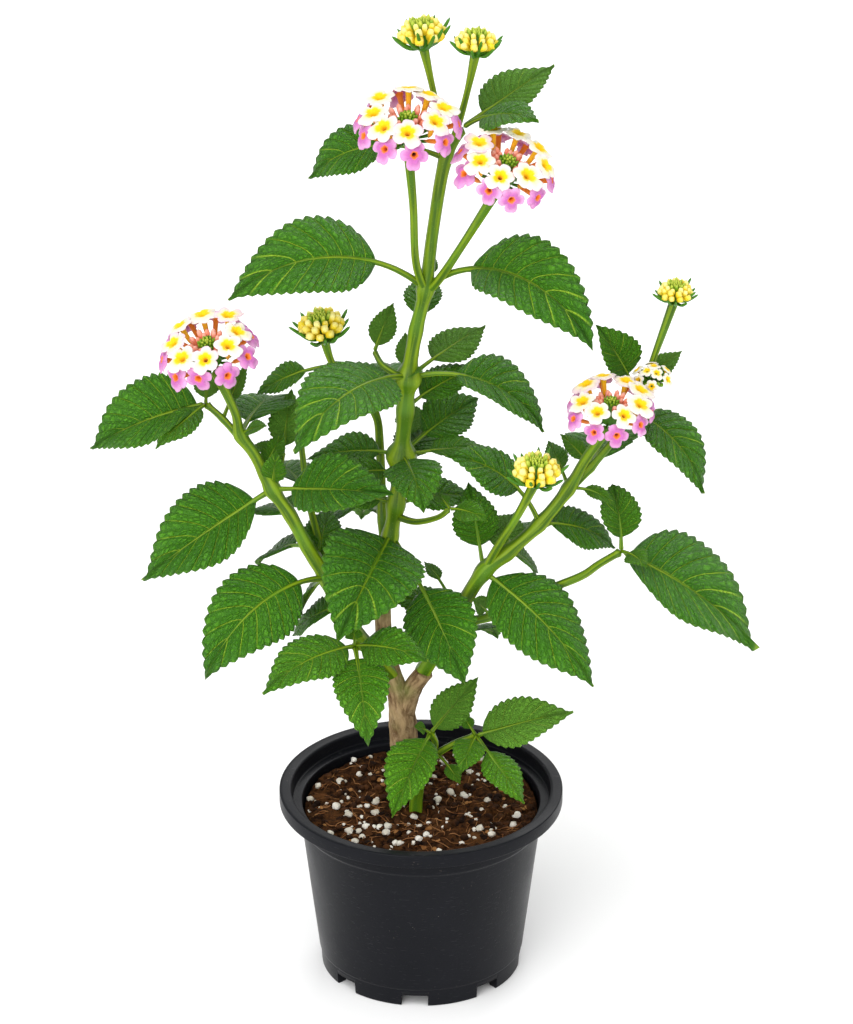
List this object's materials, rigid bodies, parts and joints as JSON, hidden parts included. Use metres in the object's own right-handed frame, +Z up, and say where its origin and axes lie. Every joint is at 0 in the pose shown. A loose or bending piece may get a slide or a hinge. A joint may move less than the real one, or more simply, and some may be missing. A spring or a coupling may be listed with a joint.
{
  "type": "potted lantana",
  "caption": "Flowering lantana with toothed leaves and rounded flower heads, growing in a round plastic nursery pot.",
  "frame": {"origin": "on the ground under the middle of the pot", "axes": "+Z up, +X to the right of the plant's best side, -Y towards that side"},
  "size_m": [0.2791, 0.1645, 0.4305],
  "materials": {
    "pot": "dark moulded plastic with a satin lip and fine scuffs",
    "soil": "damp peat with white grains",
    "trunk": "tan bark with fine furrows",
    "leafy_stem": "green leaves with sunken veins, on ridged green stems",
    "flower_head": "velvety lilac and cream florets with yellow throats",
    "bud_head": "waxy yellow buds and green bracts"
  },
  "bodies": {
    "root": {"pot": "pot", "soil": "soil", "trunk": "trunk", "central_stem": "leafy_stem", "back_stem": "leafy_stem", "left_stem": "leafy_stem", "left_back_shoot": "leafy_stem", "right_stem": "leafy_stem", "low_right_shoot": "leafy_stem", "front_shoot": "leafy_stem", "base_shoot": "leafy_stem", "flower_head_1": "flower_head", "flower_head_2": "flower_head", "flower_head_3": "flower_head", "flower_head_4": "flower_head", "young_head": "flower_head", "bud_head_1": "bud_head", "bud_head_2": "bud_head", "bud_head_3": "bud_head", "bud_head_4": "bud_head", "bud_head_5": "bud_head"}
  },
  "joints": []
}
